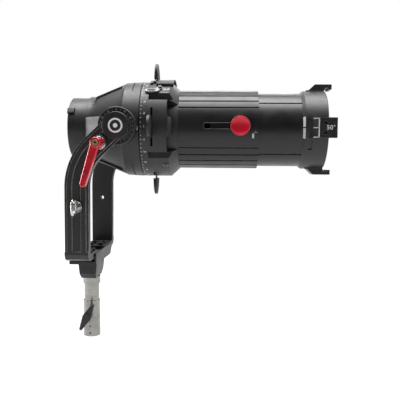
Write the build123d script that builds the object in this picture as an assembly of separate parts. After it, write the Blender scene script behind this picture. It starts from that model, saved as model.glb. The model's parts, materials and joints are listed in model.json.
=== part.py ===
from build123d import *
import math
import os

# Ellipsoidal spotlight attachment on a trunnion yoke with a junior pin.
# Millimetres, +Z up, +X the way the light goes, +Y to the far arm.
# Origin: centre of the pin's bottom face.

# Driving dimensions
AXIS_Z = 361.5            # height of the optical axis and of the tilt axis
TILT_X = 62.5
FIT_GAP = 0.06            # radial clearance of a running shaft

PIN_R = 14.3
PIN_NECK_R = 13.0
PIN_COLLAR_R = 15.0
PIN_ENTRY_TOP = 34.0
PIN_GROOVE_WIDTH = 1.6
PIN_GROOVE_R = 13.7
PIN_SPIGOT_TOP = 63.0
PIN_NECK_TOP = 93.0
PIN_TOP = 105.0
RECEIVER_R = 8.0
RECEIVER_DEPTH = 52.0
CLAMP_Z = 41.0
CLAMP_R = 4.0
SET_SCREW_HEIGHTS = (6.0, 18.0)

BLOCK_TOP = 136.0
BLOCK_HALF_X = 16.5
BLOCK_HALF_Y = 30.0
TRAY_HALF_X = 22.5
TRAY_NEAR_Y = -62.0
TRAY_FAR_Y = 65.0
TRAY_TOP = 155.0
TRAY_FLOOR = 5.0
TRAY_WALL = 2.6
TRAY_END_BEVEL = 13.0

ARM_HALF_X = 19.2
ARM_THICK = 14.0
ARM_OUT_Y = 100.3
ARM_IN_Y = ARM_OUT_Y - ARM_THICK
ARM_BEND_START = 264.5
ARM_BEND_R = 89.0
ARM_BEND_DEG = 47.0
ARM_END_R = 21.0
FOOT_BOTTOM = 147.0
FOOT_TOP = 155.0
FOOT_INNER_Y = 20.0
FOOT_SCREW_Y = (32.0, 52.0)
FOOT_SCREW_X = 9.0

LEVER_X = 37.3
LEVER_Z = 334.4
LEVER_TIP_X = 17.6
LEVER_TIP_Z = 270.5
SAFETY_X = 1.5
SAFETY_Z = 235.0
SAFETY_BAR_Y = -112.5

PIVOT_R = 7.0
DISC_R = 30.0
DISC_IN_Y = 79.8
DISC_OUT_Y = 94.6
WASHER_OUT_Y = 95.4
ARM_POCKET_Y = 96.0
ARM_POCKET_R = 30.6

RING_REAR_X = -27.0
RING_R = 53.0
RING_BORE_R = 46.0
CONE_REAR_X = 4.0
CONE_R = 77.4
BAND_X = 81.0
BODY_R = 79.5
SEAM_X = 95.0
TURN_R = 72.0             # running surface of the rotating section

TURNED_R = 79.4
CHAMFER_X = 141.0
TUBE_REAR_X = 156.0
TUBE_FRONT_X = 286.0
TUBE_R = 65.5
TUBE_BORE_R = 61.5
FLUTE_FIRST_DEG = 29.3
FLUTE_STEP_DEG = 12.14
FLUTES_PER_SIDE = 11
FLUTE_WIDE = 2.6
FLUTE_DEEP = 1.6
SHUTTER_SLOT_X = (112.4, 116.6)
SHUTTER_PLANES = (113.2, 114.1, 115.0, 115.9)
SHUTTER_SIDES = {"near": 0.0, "bottom": 270.0, "top": 90.0, "far": 180.0}
BLADE_THICK = 0.5
BLADE_HALF = 28.0
BLADE_EDGE = 5.0
HANDLE_ROOT = 83.6
HANDLE_TIP = 111.0
HANDLE_HALF = 17.0
GATE_R = 32.0
GATE_BORE_R = 69.5
LATCH_DEG = 50.0
LATCH_PIVOT_X = 125.4
LATCH_PIVOT_Z = AXIS_Z + 4.0
LATCH_ARM_Z = AXIS_Z - 4.6
LATCH_X = (105.2, 120.5)
SCREW_DEGREES = (49.5, 130.5, 229.5, 310.5)
SCREW_X = (132.7, 139.2)
# Flat-bottomed notches of the rotating housing: x limits, depth from the axis, z limits
NOTCHES = (
    ((108.5, 147.0), 57.0, (43.5, 60.0)),
    ((108.5, 147.0), 61.5, (-49.0, -40.0)),
)
# Windows in the front chamfer: x limits and angles above the near side
WINDOWS = (
    ((138.8, 157.0), (11.5, 34.0)),
    ((138.8, 157.0), (-32.0, -11.5)),
    ((146.0, 157.0), (-11.6, 11.6)),
)
WINDOW_FLOOR_R = 66.0
COVER_X = (118.5, 146.5)
COVER_LEAF_X = (124.0, 141.0)
HINGE_Y = 45.5
HINGE_Z = AXIS_Z + 71.0
HINGE_R = 3.2
HINGE_PIN_R = 1.5

LENS_TUBE_REAR_X = 208.0
LENS_TUBE_R = 61.42
LENS_TUBE_BORE_R = 58.0
FRONT_RING_X = 356.0
FRONT_RIM_X = 397.0
FRONT_RING_R = 65.4
FRONT_BORE_R = 58.0
KNOB_X = 255.8
KNOB_Z = AXIS_Z + 2.5
KNOB_R = 15.8
KNOB_FACE_Y = -79.5
CLIP_HALF = 16.0

NEAR = (0.0, -1.0, 0.0)
OPTICAL_AXIS = Axis((0, 0, AXIS_Z), (1, 0, 0))
UPWARD_TURN = Axis((0, 0, AXIS_Z), (-1, 0, 0))


def rod(start, end, radius):
    """Solid cylinder between two points."""
    way = Vector(*end) - Vector(*start)
    return extrude(Plane(origin=start, z_dir=way) * Circle(radius), amount=way.length)


def block(x_span, y_span, z_span):
    """Box between three pairs of limits."""
    spans = (x_span, y_span, z_span)
    middle = [sum(span) / 2 for span in spans]
    size = [abs(span[1] - span[0]) for span in spans]
    return Pos(*middle) * Box(*size)


def turned(outline):
    """Solid of revolution about the optical axis from (x, radius) points."""
    face = make_face(Polyline(*[(x, 0, AXIS_Z + r) for x, r in outline], close=True))
    return revolve(face, axis=OPTICAL_AXIS)


def around(shape, degrees):
    """Turns a piece made on the near side upwards about the optical axis."""
    return Pos(0, 0, AXIS_Z) * Rot(X=-degrees) * Pos(0, 0, -AXIS_Z) * shape


def sector(x_span, r_span, from_deg, to_deg):
    """Part of a ring about the optical axis, angles from the near side upwards."""
    (x0, x1), (r0, r1) = x_span, r_span
    corners = [(x0, -r0, AXIS_Z), (x1, -r0, AXIS_Z), (x1, -r1, AXIS_Z), (x0, -r1, AXIS_Z)]
    face = make_face(Polyline(*corners, close=True))
    return around(revolve(face, axis=UPWARD_TURN, revolution_arc=to_deg - from_deg), from_deg)


def across(outline, half_width):
    """Prism along Z, centred on the optical axis, from (x, y) points."""
    face = make_face(Polyline(*[(x, y, AXIS_Z - half_width) for x, y in outline], close=True))
    return extrude(face, amount=2 * half_width, dir=(0, 0, 1))


def socket_screw(head, direction, head_r, head_high, shank_r, shank_long):
    """Cap screw whose head rests on the point HEAD and stands along DIRECTION."""
    seat = Vector(*head)
    way = Vector(*direction).normalized()
    body = rod(seat, seat + way * head_high, head_r)
    if shank_long:
        body += rod(seat, seat - way * shank_long, shank_r)
    hexagon = Plane(origin=seat + way * head_high, z_dir=way) * RegularPolygon(head_r * 0.5, 6)
    return body - extrude(hexagon, amount=-head_high * 0.6)


def both_sides(shape):
    """The piece and its mirror image across the XZ plane."""
    return Compound(children=[shape, mirror(shape, about=Plane.XZ)])


# Pin and base

def junior_pin():
    pin = rod((0, 0, 0), (0, 0, PIN_SPIGOT_TOP), PIN_R)
    pin += rod((0, 0, PIN_SPIGOT_TOP), (0, 0, PIN_NECK_TOP), PIN_NECK_R)
    pin += rod((0, 0, PIN_NECK_TOP), (0, 0, PIN_TOP), PIN_COLLAR_R)
    groove_top = PIN_ENTRY_TOP + PIN_GROOVE_WIDTH
    groove = rod((0, 0, PIN_ENTRY_TOP), (0, 0, groove_top), PIN_R + 1)
    pin -= groove - rod((0, 0, PIN_ENTRY_TOP - 1), (0, 0, groove_top + 1), PIN_GROOVE_R)
    pin -= rod((0, 0, 0), (0, 0, RECEIVER_DEPTH), RECEIVER_R)
    pin -= rod((0, 0, PIN_TOP), (0, 0, PIN_TOP - 26), 5.2)
    pin -= rod((0, 0, CLAMP_Z), (0, -20, CLAMP_Z), CLAMP_R + FIT_GAP)
    for height in SET_SCREW_HEIGHTS:
        pin -= rod((0, 0, height), (0, -20, height), 1.6)
    pin -= rod((0, 0, 10), (20, 0, 10), 1.6)
    return pin


def pin_set_screws():
    screws = [rod((0, 0.1 - PIN_R, z), (0, -RECEIVER_R - 1, z), 1.6) for z in SET_SCREW_HEIGHTS]
    side = rod((RECEIVER_R + 1, 0, 10), (PIN_R - 0.1, 0, 10), 1.6)
    return Compound(children=screws + [side])


def pin_block():
    body = block((-BLOCK_HALF_X, BLOCK_HALF_X), (-BLOCK_HALF_Y, BLOCK_HALF_Y), (PIN_TOP, BLOCK_TOP))
    for side in (-1, 1):
        far_x, far_y = side * (BLOCK_HALF_X + 1), side * (BLOCK_HALF_Y + 1)
        bevel = Polyline((far_x, 0, PIN_TOP - 1), (side * (BLOCK_HALF_X - 4), 0, PIN_TOP - 1),
                         (side * (BLOCK_HALF_X - 2.5), 0, PIN_TOP + 9),
                         (side * (BLOCK_HALF_X + 0.1), 0, BLOCK_TOP + 1),
                         (far_x, 0, BLOCK_TOP + 1), close=True)
        body -= extrude(make_face(bevel), amount=BLOCK_HALF_Y + 1, both=True)
        slope = Polyline((0, far_y, PIN_TOP - 1), (0, side * (BLOCK_HALF_Y - 9), PIN_TOP - 1),
                         (0, far_y, PIN_TOP + 10), close=True)
        body -= extrude(make_face(slope), amount=BLOCK_HALF_X + 1, both=True)
    return body - rod((0, 0, PIN_TOP - 1), (0, 0, BLOCK_TOP + 1), 5.2)


def yoke_base():
    profile = Polyline(
        (0, TRAY_NEAR_Y, BLOCK_TOP), (0, TRAY_FAR_Y - TRAY_END_BEVEL, BLOCK_TOP),
        (0, TRAY_FAR_Y, BLOCK_TOP + TRAY_END_BEVEL), (0, TRAY_FAR_Y, TRAY_TOP),
        (0, TRAY_NEAR_Y, TRAY_TOP), close=True)
    tray = extrude(make_face(profile), amount=TRAY_HALF_X, both=True)
    inner_x = TRAY_HALF_X - TRAY_WALL
    floor = BLOCK_TOP + TRAY_FLOOR
    tray -= block((-inner_x, inner_x), (TRAY_NEAR_Y - 1, TRAY_FAR_Y + 1), (floor, TRAY_TOP + 1))
    for side in (-1, 1):
        for y in FOOT_SCREW_Y:
            for x in (-FOOT_SCREW_X, FOOT_SCREW_X):
                tray += rod((x, side * y, floor), (x, side * y, FOOT_BOTTOM), 6.0)
                tray -= rod((x, side * y, floor - 3), (x, side * y, FOOT_BOTTOM + 1), 3.1)
    return tray - rod((0, 0, BLOCK_TOP - 1), (0, 0, TRAY_TOP), 5.2)


def centre_bolt():
    seat = (0, 0, BLOCK_TOP + TRAY_FLOOR)
    return socket_screw(seat, (0, 0, 1), 9.0, 9.0, 5.0, seat[2] - PIN_TOP + 24)


def foot_screws():
    seats = [(x, side * y, FOOT_TOP) for side in (-1, 1) for y in FOOT_SCREW_Y
             for x in (-FOOT_SCREW_X, FOOT_SCREW_X)]
    return Compound(children=[socket_screw(seat, (0, 0, 1), 5.0, 4.0, 3.0, 15.0) for seat in seats])


# Yoke arms

def arm_path(bottom):
    bend_end = (ARM_BEND_R * (1 - math.cos(math.radians(ARM_BEND_DEG))), 0,
                ARM_BEND_START + ARM_BEND_R * math.sin(math.radians(ARM_BEND_DEG)))
    upright = Line((0, 0, bottom), (0, 0, ARM_BEND_START))
    bend = TangentArc(upright @ 1, bend_end, tangent=(0, 0, 1))
    slope = Line(bend_end, (TILT_X, 0, AXIS_Z))
    return Wire([upright.edge(), bend.edge(), slope.edge()])


def near_arm():
    groove, edge, deep = 6.9, 15.2, 1.6
    out, inn = -ARM_OUT_Y, -ARM_IN_Y
    section = Polyline(
        (-ARM_HALF_X, inn), (ARM_HALF_X, inn), (ARM_HALF_X, out + 2.2), (edge, out + 2.2),
        (edge, out), (groove, out), (groove, out + deep), (-groove, out + deep), (-groove, out),
        (-edge, out), (-edge, out + 2.2), (-ARM_HALF_X, out + 2.2), close=True)
    bottom = FOOT_TOP + 8
    bar = sweep(Plane(origin=(0, 0, bottom)) * make_face(section), path=arm_path(bottom))
    foot = Polyline((0, out, bottom), (0, inn, bottom), (0, inn, FOOT_TOP), (0, -FOOT_INNER_Y, FOOT_TOP),
                    (0, -FOOT_INNER_Y, FOOT_BOTTOM), (0, out + 12, FOOT_BOTTOM),
                    (0, out + 3.5, FOOT_BOTTOM + 3.5), (0, out, FOOT_BOTTOM + 10), close=True)
    bar += extrude(make_face(foot), amount=ARM_HALF_X, both=True)
    bar += rod((TILT_X, inn, AXIS_Z), (TILT_X, out, AXIS_Z), ARM_END_R)
    bar -= rod((TILT_X, -80, AXIS_Z), (TILT_X, -ARM_POCKET_Y, AXIS_Z), ARM_POCKET_R)
    bar -= rod((TILT_X, -50, AXIS_Z), (TILT_X, -120, AXIS_Z), 10.0)
    for y in FOOT_SCREW_Y:
        for x in (-FOOT_SCREW_X, FOOT_SCREW_X):
            bar -= rod((x, -y, FOOT_BOTTOM - 1), (x, -y, FOOT_TOP + 1), 3.1)
    return bar


def far_arm():
    bar = mirror(near_arm(), about=Plane.XZ)
    return bar - rod((0, 80, 237.7), (0, 110, 237.7), 3.2)


def tilt_bushes():
    bush = rod((TILT_X, -ARM_POCKET_Y, AXIS_Z), (TILT_X, -ARM_OUT_Y, AXIS_Z), 9.95)
    bush -= rod((TILT_X, -80, AXIS_Z), (TILT_X, -110, AXIS_Z), PIVOT_R + FIT_GAP)
    return both_sides(bush)


def pivot_caps():
    cap = rod((TILT_X, -ARM_OUT_Y, AXIS_Z), (TILT_X, -ARM_OUT_Y - 3.4, AXIS_Z), 21.5)
    cap = fillet(cap.edges().filter_by(GeomType.CIRCLE).group_by(Axis.Y)[0], 1.4)
    cap -= rod((TILT_X, -ARM_OUT_Y, AXIS_Z), (TILT_X, -ARM_OUT_Y - 1.6, AXIS_Z), 11.0)
    return both_sides(cap)


# Tilt lock, safety ring and stand clamp

def lever_washers():
    x, z = LEVER_X, LEVER_Z
    stack = rod((x, -ARM_OUT_Y, z), (x, -103.2, z), 12.6)
    stack += rod((x, -103.2, z), (x, -105.8, z), 10.0)
    return stack - rod((x, -90, z), (x, -120, z), 3.2)


def lever_stud():
    x, z = LEVER_X, LEVER_Z
    return rod((x, -ARM_OUT_Y + 1.6, z), (x, -126, z), 3.0)


def tilt_lever():
    x, z = LEVER_X, LEVER_Z
    hub = rod((x, -106.4, z), (x, -132, z), 7.9)
    hub = chamfer(hub.edges().filter_by(GeomType.CIRCLE).group_by(Axis.Y)[0], 0.8)
    tip = Vector(LEVER_TIP_X, -127.5, LEVER_TIP_Z)
    root = Vector(x, -127.5, z)
    way = (tip - root).normalized()
    side = way.cross(Vector(*NEAR)).normalized()
    end = tip + way * 3.5
    corners = [root + side * 7.0, root + way * 14 + side * 6.4, tip + side * 4.8, end + side * 2.0,
               end - side * 2.0, tip - side * 4.8, root + way * 14 - side * 6.4, root - side * 7.0]
    blade = extrude(make_face(Polyline(*corners, close=True)), amount=3.6, dir=(0, 1, 0), both=True)
    blade = chamfer(blade.faces().sort_by(Axis.Y)[0].edges(), 1.1)
    lever = hub + blade
    lever -= rod((x, -100, z), (x, -126.5, z), 3.0 + FIT_GAP)
    lever -= rod((x, -127.5, z), (x, -131, z), 1.1)
    return lever - rod((x, -130, z), (x, -140, z), 4.9)


def lever_screw():
    x, z = LEVER_X, LEVER_Z
    return socket_screw((x, -130, z), NEAR, 4.7, 2.6, 1.0, 2.0)


def safety_screw():
    base = rod((SAFETY_X, -ARM_OUT_Y + 1.6, SAFETY_Z), (SAFETY_X, -102.0, SAFETY_Z), 4.0)
    base += rod((SAFETY_X, -ARM_OUT_Y, SAFETY_Z), (SAFETY_X, -105.0, SAFETY_Z), 8.0)
    base += rod((SAFETY_X, -105.0, SAFETY_Z), (SAFETY_X, -107.0, SAFETY_Z), 9.0)
    base += rod((SAFETY_X, -107.0, SAFETY_Z), (SAFETY_X, -116.5, SAFETY_Z), 5.6)
    bar = (SAFETY_X, SAFETY_BAR_Y)
    return base - rod((*bar, SAFETY_Z - 20), (*bar, SAFETY_Z + 20), 2.0 + FIT_GAP)


def safety_ring():
    half, reach, wire, corner = 11.5, 17.5, 2.0, 6.0
    x, y, z = SAFETY_X, SAFETY_BAR_Y, SAFETY_Z
    bar = rod((x, y, z - half), (x, y, z + half), wire)
    upper = Line((x, y, z + half), (x, y - reach + corner, z + half))
    bend = TangentArc(upper @ 1, (x, y - reach, z + half - corner), tangent=(0, -1, 0))
    across_line = Line(bend @ 1, (x, y - reach, z - half + corner))
    bend_low = TangentArc(across_line @ 1, (x, y - reach + corner, z - half), tangent=(0, 0, -1))
    lower = Line(bend_low @ 1, (x, y, z - half))
    path = Wire([upper.edge(), bend.edge(), across_line.edge(), bend_low.edge(), lower.edge()])
    bail = sweep(Plane(origin=upper @ 0, z_dir=(0, -1, 0)) * Circle(wire), path=path)
    for end in (z - half, z + half):
        bail += Pos(x, y, end) * Sphere(wire)
    return bail + bar


def clamp_screw():
    return rod((0, -RECEIVER_R - 0.6, CLAMP_Z), (0, -33.0, CLAMP_Z), CLAMP_R)


def clamp_handle():
    lean = math.radians(63.5)
    way = Vector(math.cos(lean), 0, math.sin(lean))
    side = Vector(-math.sin(lean), 0, math.cos(lean))
    middle = Vector(0, -37.0, CLAMP_Z)
    corners = [middle + way * 24.5 + side * 2.2, middle + side * 7.5, middle - way * 24.5 + side * 2.2,
               middle - way * 24.5 - side * 2.2, middle - side * 7.5, middle + way * 24.5 - side * 2.2]
    wing = extrude(make_face(Polyline(*corners, close=True)), amount=3.4, dir=(0, 1, 0), both=True)
    wing += rod((0, -20.0, CLAMP_Z), (0, -42.0, CLAMP_Z), 6.6)
    return wing - rod((0, -19.0, CLAMP_Z), (0, -33.0, CLAMP_Z), CLAMP_R)


# Fixed housing

def rear_mount_ring():
    ring = turned([(RING_REAR_X, RING_BORE_R + 2), (RING_REAR_X, RING_R - 1), (RING_REAR_X + 1, RING_R),
                   (CONE_REAR_X, RING_R), (CONE_REAR_X, 49.8), (9, 49.8), (9, RING_BORE_R),
                   (RING_REAR_X + 2, RING_BORE_R)])
    return ring - sector((RING_REAR_X - 1, RING_REAR_X + 11.4), (50.0, 54.0), 25, 36)


def mount_lock():
    button = sector((RING_REAR_X - 0.6, RING_REAR_X + 11), (50.2, 56.2), 25.6, 35.4)
    return chamfer(button.faces().sort_by(SortBy.AREA)[-1].edges(), 0.6)


def cone_housing():
    end = SEAM_X - 0.4
    body = turned([(CONE_REAR_X, 49.9), (CONE_REAR_X, 55), (11, 55), (65.5, CONE_R), (67.0, 78.3),
                   (BAND_X + 7, BODY_R), (end - 0.8, BODY_R), (end, BODY_R - 0.8), (end, TURN_R + FIT_GAP),
                   (84, TURN_R + FIT_GAP), (84, 75.2), (68, 74), (64, 72.5), (12, 50.6), (12, 49.9)])
    for side in (1, -1):
        rib = across([(5, side * 48), (5, side * 56), (32, side * 78), (40, side * DISC_IN_Y),
                      (62, side * DISC_IN_Y), (62, side * 48)], 16)
        boss = rod((TILT_X, side * 60, AXIS_Z), (TILT_X, side * DISC_IN_Y, AXIS_Z), 25)
        body += (rib + boss) - inner_cone()
        body -= rod((TILT_X, side * 60, AXIS_Z), (TILT_X, side * 90, AXIS_Z), PIVOT_R)
    for from_deg in (43, 110, 223, 290):
        body -= cone_pocket(from_deg)
    for from_deg in (48, 228):
        body -= sector((BAND_X - 1, BAND_X + 0.6), (77.0, 90), from_deg, from_deg + 84)
    return body


def inner_cone():
    bore = TURN_R + FIT_GAP
    return turned([(0, 0), (0, 49.9), (12, 49.9), (12, 50.6), (64, 72.5), (68, 74), (84, 75.2), (84, bore),
                   (SEAM_X, bore), (SEAM_X, 0)])


def cone_pocket(from_deg):
    """Shallow recess in the cone's skin."""
    corners = [(16, 53.6), (60, 72.1), (66, 90), (14, 90)]
    face = make_face(Polyline(*[(x, -r, AXIS_Z) for x, r in corners], close=True))
    return around(revolve(face, axis=UPWARD_TURN, revolution_arc=27), from_deg)


def tilt_discs():
    disc = rod((TILT_X, -DISC_IN_Y, AXIS_Z), (TILT_X, -DISC_OUT_Y, AXIS_Z), DISC_R)
    low, high = (TILT_X, -DISC_OUT_Y + 1.0, AXIS_Z), (TILT_X, -DISC_OUT_Y - 1, AXIS_Z)
    disc -= rod(low, high, 28.4) - rod(low, high, 22.4)
    rims = disc.edges().filter_by(GeomType.CIRCLE).group_by(Axis.Y)[0]
    disc = chamfer(rims.sort_by(SortBy.RADIUS)[-1], 0.7)
    disc -= rod((TILT_X, -60, AXIS_Z), (TILT_X, -98, AXIS_Z), PIVOT_R)
    return both_sides(disc)


def pivot_shafts():
    shaft = rod((TILT_X, -74.5, AXIS_Z), (TILT_X, -ARM_OUT_Y + 0.6, AXIS_Z), PIVOT_R)
    return both_sides(shaft)


def friction_washers():
    washer = rod((TILT_X, -DISC_OUT_Y, AXIS_Z), (TILT_X, -WASHER_OUT_Y, AXIS_Z), 20)
    washer -= rod((TILT_X, -80, AXIS_Z), (TILT_X, -98, AXIS_Z), PIVOT_R)
    return both_sides(washer)


def lens_face(edge_x, radius, bulge, way):
    """Generating line of one lens face, from its rim to the optical axis."""
    rim = (edge_x, 0, AXIS_Z + radius)
    if bulge == 0:
        return Line(rim, (edge_x, 0, AXIS_Z))
    sphere = (radius ** 2 + bulge ** 2) / (2 * bulge)
    half = math.asin(radius / sphere) / 2
    sag = bulge - sphere * (1 - math.cos(half))
    middle = (edge_x + way * sag, 0, AXIS_Z + sphere * math.sin(half))
    return ThreePointArc(rim, middle, (edge_x + way * bulge, 0, AXIS_Z))


def lens(x, radius, rear_bulge, front_bulge, edge):
    """Glass lens with its rear rim at X."""
    rear = lens_face(x, radius, rear_bulge, -1)
    front = lens_face(x + edge, radius, front_bulge, 1)
    middle = Line(rear @ 1, front @ 1)
    rim = Line(front @ 0, rear @ 0)
    return revolve(make_face([rear.edge(), middle.edge(), front.edge(), rim.edge()]), axis=OPTICAL_AXIS)


def ring(x_span, inner, outer):
    x0, x1 = x_span
    return turned([(x0, inner), (x0, outer), (x1, outer), (x1, inner)])


def condenser_cell():
    return turned([(12.2, 44), (12.2, 50.66), (26, 56.47), (26, 52.4), (20, 46.5), (20, 44)])


def condenser_ring():
    return turned([(50, 62.02), (50, 66.58), (53, 67.84), (53, 62.02)])


# Rotating section

def rotating_housing():
    body = turned([(84, 66), (84, TURN_R), (SEAM_X + 0.3, TURN_R), (SEAM_X + 0.3, 77.4), (107.4, 77.4),
                   (107.4, TURNED_R), (CHAMFER_X, TURNED_R), (TUBE_REAR_X, 65.3), (TUBE_REAR_X, 64.05),
                   (148, 64.05), (148, 62), (137.5, 62), (131, GATE_BORE_R), (97, GATE_BORE_R), (97, 66)])
    for degrees in SHUTTER_SIDES.values():
        body -= around(block(SHUTTER_SLOT_X, (-90, -60), (AXIS_Z - 30.5, AXIS_Z + 30.5)), degrees)
    for degrees in SCREW_DEGREES:
        for x in SCREW_X:
            body -= around(rod((x, -70, AXIS_Z), (x, -90, AXIS_Z), 1.25), degrees)
    pivot_hole = rod((LATCH_PIVOT_X, -70, LATCH_PIVOT_Z), (LATCH_PIVOT_X, -90, LATCH_PIVOT_Z), 1.65)
    body -= around(pivot_hole, LATCH_DEG)
    for side in (-1, 1):
        for x_span, floor_y, z_span in NOTCHES:
            y_span = (side * floor_y, side * 90)
            body -= block(x_span, y_span, (AXIS_Z + z_span[0], AXIS_Z + z_span[1]))
    for x_span, (low, high) in WINDOWS:
        for from_deg in (low, 180 - high):
            body -= sector(x_span, (WINDOW_FLOOR_R, 90), from_deg, from_deg + high - low)
    body -= block((121, 145), (-37, 37), (AXIS_Z + 50, AXIS_Z + 90))
    rim = sector((107.6, 112.2), (78.6, 82.4), 64, 116)
    rim -= sector((106, 114), (70, TURNED_R), 60, 120)
    return body + rim


def degree_ring():
    return ring((SEAM_X + 0.4, 107.3), 77.4, TURNED_R)


def turn_retainer():
    return ring((80.2, 83.7), 66, 74.4)


def gate_plates():
    plates = [ring(span, GATE_R, GATE_BORE_R - 0.1) for span in ((109.6, 112.3), (116.7, 118.8))]
    return Compound(children=plates)


def gate_spacers():
    post = rod((112.3, -64, AXIS_Z), (116.7, -64, AXIS_Z), 3)
    return Compound(children=[around(post, quarter) for quarter in (45, 135, 225, 315)])


def shutter_blade(plane_x, degrees):
    x_span = (plane_x - BLADE_THICK / 2, plane_x + BLADE_THICK / 2)
    body = block(x_span, (-73, -BLADE_EDGE), (AXIS_Z - BLADE_HALF, AXIS_Z + BLADE_HALF))
    body += block(x_span, (-HANDLE_ROOT - 10, -72), (AXIS_Z - 12, AXIS_Z + 12))
    return around(body, degrees)


def shutter_handle(plane_x, degrees):
    """Moulded grip, thinner towards its round tip."""
    outline = [(plane_x - 3, -HANDLE_ROOT), (plane_x + 3, -HANDLE_ROOT), (plane_x + 3, -HANDLE_ROOT - 4),
               (plane_x + 1.8, -HANDLE_TIP), (plane_x - 1.8, -HANDLE_TIP), (plane_x - 3, -HANDLE_ROOT - 4)]
    bow_y = -HANDLE_TIP + HANDLE_HALF
    bow = rod((plane_x - 5, bow_y, AXIS_Z), (plane_x + 5, bow_y, AXIS_Z), HANDLE_HALF)
    bow += block((plane_x - 5, plane_x + 5), (bow_y, 0), (AXIS_Z - HANDLE_HALF, AXIS_Z + HANDLE_HALF))
    grip = across(outline, HANDLE_HALF + 1) & bow
    slit_x = (plane_x - BLADE_THICK / 2, plane_x + BLADE_THICK / 2)
    slit = block(slit_x, (-HANDLE_ROOT - 10, -HANDLE_ROOT + 1), (AXIS_Z - 12, AXIS_Z + 12))
    return around(grip - slit, degrees)


def slot_cover():
    cover = sector(COVER_X, (80.2, 83.6), 60, 117)
    cover += block(COVER_LEAF_X, (37, HINGE_Y), (HINGE_Z, HINGE_Z + 3))
    cover += rod((COVER_LEAF_X[0], HINGE_Y, HINGE_Z), (COVER_LEAF_X[1], HINGE_Y, HINGE_Z), HINGE_R)
    return cover - rod((COVER_X[0] - 9, HINGE_Y, HINGE_Z), (COVER_X[1] + 9, HINGE_Y, HINGE_Z),
                       HINGE_PIN_R + FIT_GAP)


def cover_hinge():
    low, high = COVER_X[0] + 0.5, COVER_X[1] - 0.5
    hinge = rod((low, HINGE_Y, HINGE_Z), (high, HINGE_Y, HINGE_Z), HINGE_PIN_R)
    for x_span in ((low, COVER_LEAF_X[0] - 0.4), (COVER_LEAF_X[1] + 0.4, high)):
        hinge += rod((x_span[0], HINGE_Y, HINGE_Z), (x_span[1], HINGE_Y, HINGE_Z), HINGE_R)
        foot = block(x_span, (HINGE_Y - HINGE_R, HINGE_Y + HINGE_R), (HINGE_Z - 9, HINGE_Z))
        hinge += foot - turned([(110, 0), (110, TURNED_R + 0.02), (150, TURNED_R + 0.02), (150, 0)])
    return hinge


def cover_latch():
    """Flat lever with a slotted finger arm below its pivot."""
    low, high = -79.9, -82.4
    plate = block(LATCH_X, (low, high), (LATCH_ARM_Z - 3.6, LATCH_ARM_Z + 3.6))
    for x in LATCH_X:
        plate += rod((x, low, LATCH_ARM_Z), (x, high, LATCH_ARM_Z), 3.6)
    neck = Polyline((LATCH_X[1] - 3, low, LATCH_ARM_Z + 2.5), (LATCH_X[1] + 2.5, low, LATCH_ARM_Z - 2.5),
                    (LATCH_PIVOT_X + 3.1, low, LATCH_PIVOT_Z - 1),
                    (LATCH_PIVOT_X - 3.1, low, LATCH_PIVOT_Z + 1), close=True)
    plate += extrude(make_face(neck), amount=low - high, dir=(0, -1, 0))
    plate += rod((LATCH_PIVOT_X, low, LATCH_PIVOT_Z), (LATCH_PIVOT_X, high, LATCH_PIVOT_Z), 3.6)
    plate -= block((LATCH_X[0] + 0.6, LATCH_X[1] - 2), (-84, -78), (LATCH_ARM_Z - 1.8, LATCH_ARM_Z + 1.8))
    plate -= rod((LATCH_PIVOT_X, -78, LATCH_PIVOT_Z), (LATCH_PIVOT_X, -84, LATCH_PIVOT_Z), 1.6 + FIT_GAP)
    return around(plate, LATCH_DEG)


def latch_screw():
    pin = rod((LATCH_PIVOT_X, -77, LATCH_PIVOT_Z), (LATCH_PIVOT_X, -82.8, LATCH_PIVOT_Z), 1.6)
    pin += rod((LATCH_PIVOT_X, -82.8, LATCH_PIVOT_Z), (LATCH_PIVOT_X, -84.2, LATCH_PIVOT_Z), 3.0)
    return around(pin, LATCH_DEG)


def housing_screws():
    heads = []
    for degrees in SCREW_DEGREES:
        for x in SCREW_X:
            seat = (x, -TURNED_R - 0.05, AXIS_Z)
            heads.append(around(socket_screw(seat, NEAR, 2.8, 1.4, 1.2, 4.0), degrees))
    return Compound(children=heads)


def outer_tube():
    body = turned([(148.2, TUBE_BORE_R), (148.2, 64), (TUBE_REAR_X + 0.1, 64), (TUBE_REAR_X + 0.1, TUBE_R),
                   (TUBE_FRONT_X - 1, TUBE_R), (TUBE_FRONT_X, TUBE_R - 1), (TUBE_FRONT_X, TUBE_BORE_R)])
    for side in (0, 180):
        for count in range(FLUTES_PER_SIDE):
            degrees = side + FLUTE_FIRST_DEG + count * FLUTE_STEP_DEG
            body -= around(block((TUBE_REAR_X - 1, TUBE_FRONT_X + 1), (-TUBE_R - 1, -TUBE_R + FLUTE_DEEP),
                                 (AXIS_Z - FLUTE_WIDE / 2, AXIS_Z + FLUTE_WIDE / 2)), degrees)
    slot = block((201.9, 267.5), (-70, -55), (KNOB_Z - 4.5, KNOB_Z + 4.5))
    for x in (201.9, 267.5):
        slot += rod((x, -55, KNOB_Z), (x, -70, KNOB_Z), 4.5)
    return body - slot


# Sliding lens tube

def lens_tube():
    body = turned([(LENS_TUBE_REAR_X, LENS_TUBE_BORE_R), (LENS_TUBE_REAR_X, LENS_TUBE_R - 0.6),
                   (LENS_TUBE_REAR_X + 0.6, LENS_TUBE_R), (FRONT_RING_X + 4, LENS_TUBE_R),
                   (FRONT_RING_X + 4, LENS_TUBE_BORE_R)])
    body -= rod((KNOB_X, -50, KNOB_Z), (KNOB_X, -70, KNOB_Z), 3.0 + FIT_GAP)
    body -= sector((297.6, 306.0), (LENS_TUBE_R - 1.2, 70), -33, -17)
    return body


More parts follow.
